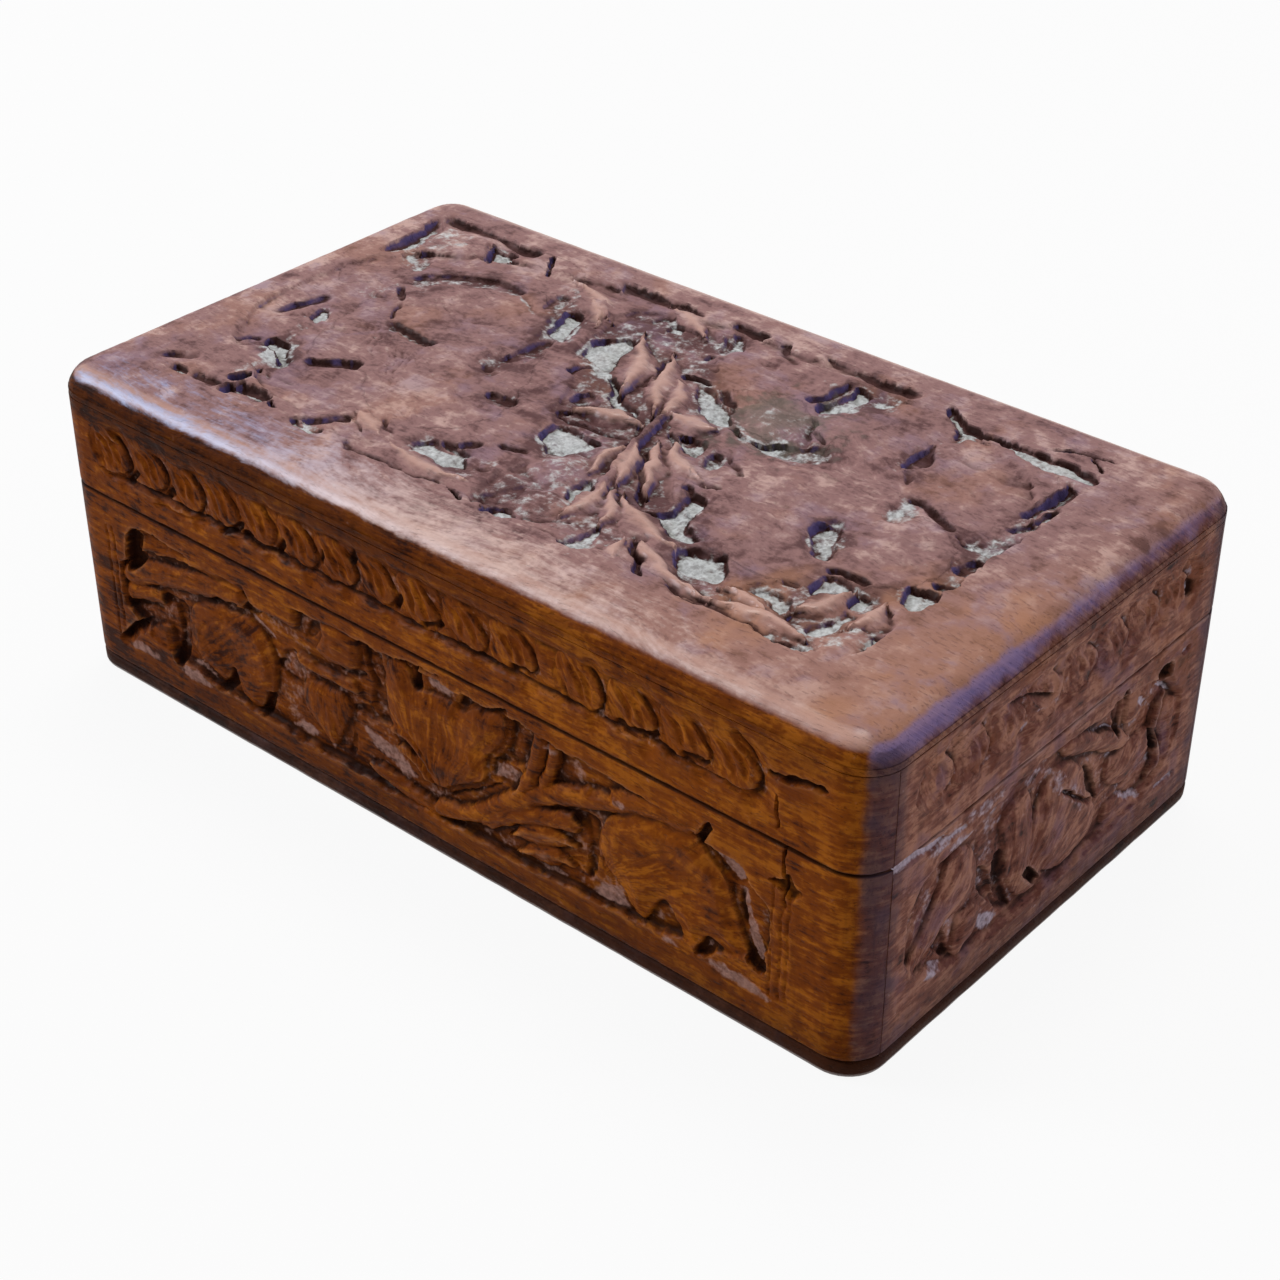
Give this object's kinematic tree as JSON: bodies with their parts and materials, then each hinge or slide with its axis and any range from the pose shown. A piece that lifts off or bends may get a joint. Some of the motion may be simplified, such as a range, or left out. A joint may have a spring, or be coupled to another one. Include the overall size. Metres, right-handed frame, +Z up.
{
  "type": "trinket box",
  "caption": "Small oblong wooden trinket box with rounded corners, sunk carved fields on lid and sides, and a lid on two small brass butt hinges.",
  "frame": {"origin": "middle of the underside, on the surface that the box stands on", "axes": "+X along the long side, +Z up, -Y towards the front; the hinges are at +Y"},
  "size_m": [0.15, 0.086, 0.052],
  "materials": {
    "side_wood": "waxed, semi-gloss amber brown",
    "top_wood": "waxed, dusty pinkish brown",
    "base_wood": "dark stained, satin",
    "brass": "aged, satin"
  },
  "bodies": {
    "box": {"base_board": "base_wood", "body_front_board": "side_wood", "body_back_board": "side_wood", "body_left_board": "side_wood", "body_right_board": "side_wood", "left_hinge_body_leaf": "brass", "left_hinge_pin": "brass", "left_hinge_body_nail_1": "brass", "left_hinge_body_nail_2": "brass", "right_hinge_body_leaf": "brass", "right_hinge_pin": "brass", "right_hinge_body_nail_1": "brass", "right_hinge_body_nail_2": "brass"},
    "lid": {"lid_top_board": "top_wood", "lid_front_board": "side_wood", "lid_back_board": "side_wood", "lid_left_board": "side_wood", "lid_right_board": "side_wood", "left_hinge_lid_leaf": "brass", "left_hinge_lid_nail_1": "brass", "left_hinge_lid_nail_2": "brass", "right_hinge_lid_leaf": "brass", "right_hinge_lid_nail_1": "brass", "right_hinge_lid_nail_2": "brass"}
  },
  "joints": [
    {"name": "lid_hinge", "type": "hinge", "parent": "box", "child": "lid", "pos_m": [0, 0.0425, 0.0328], "axis": [-1, 0, 0], "range_deg": [0, 180]}
  ]
}
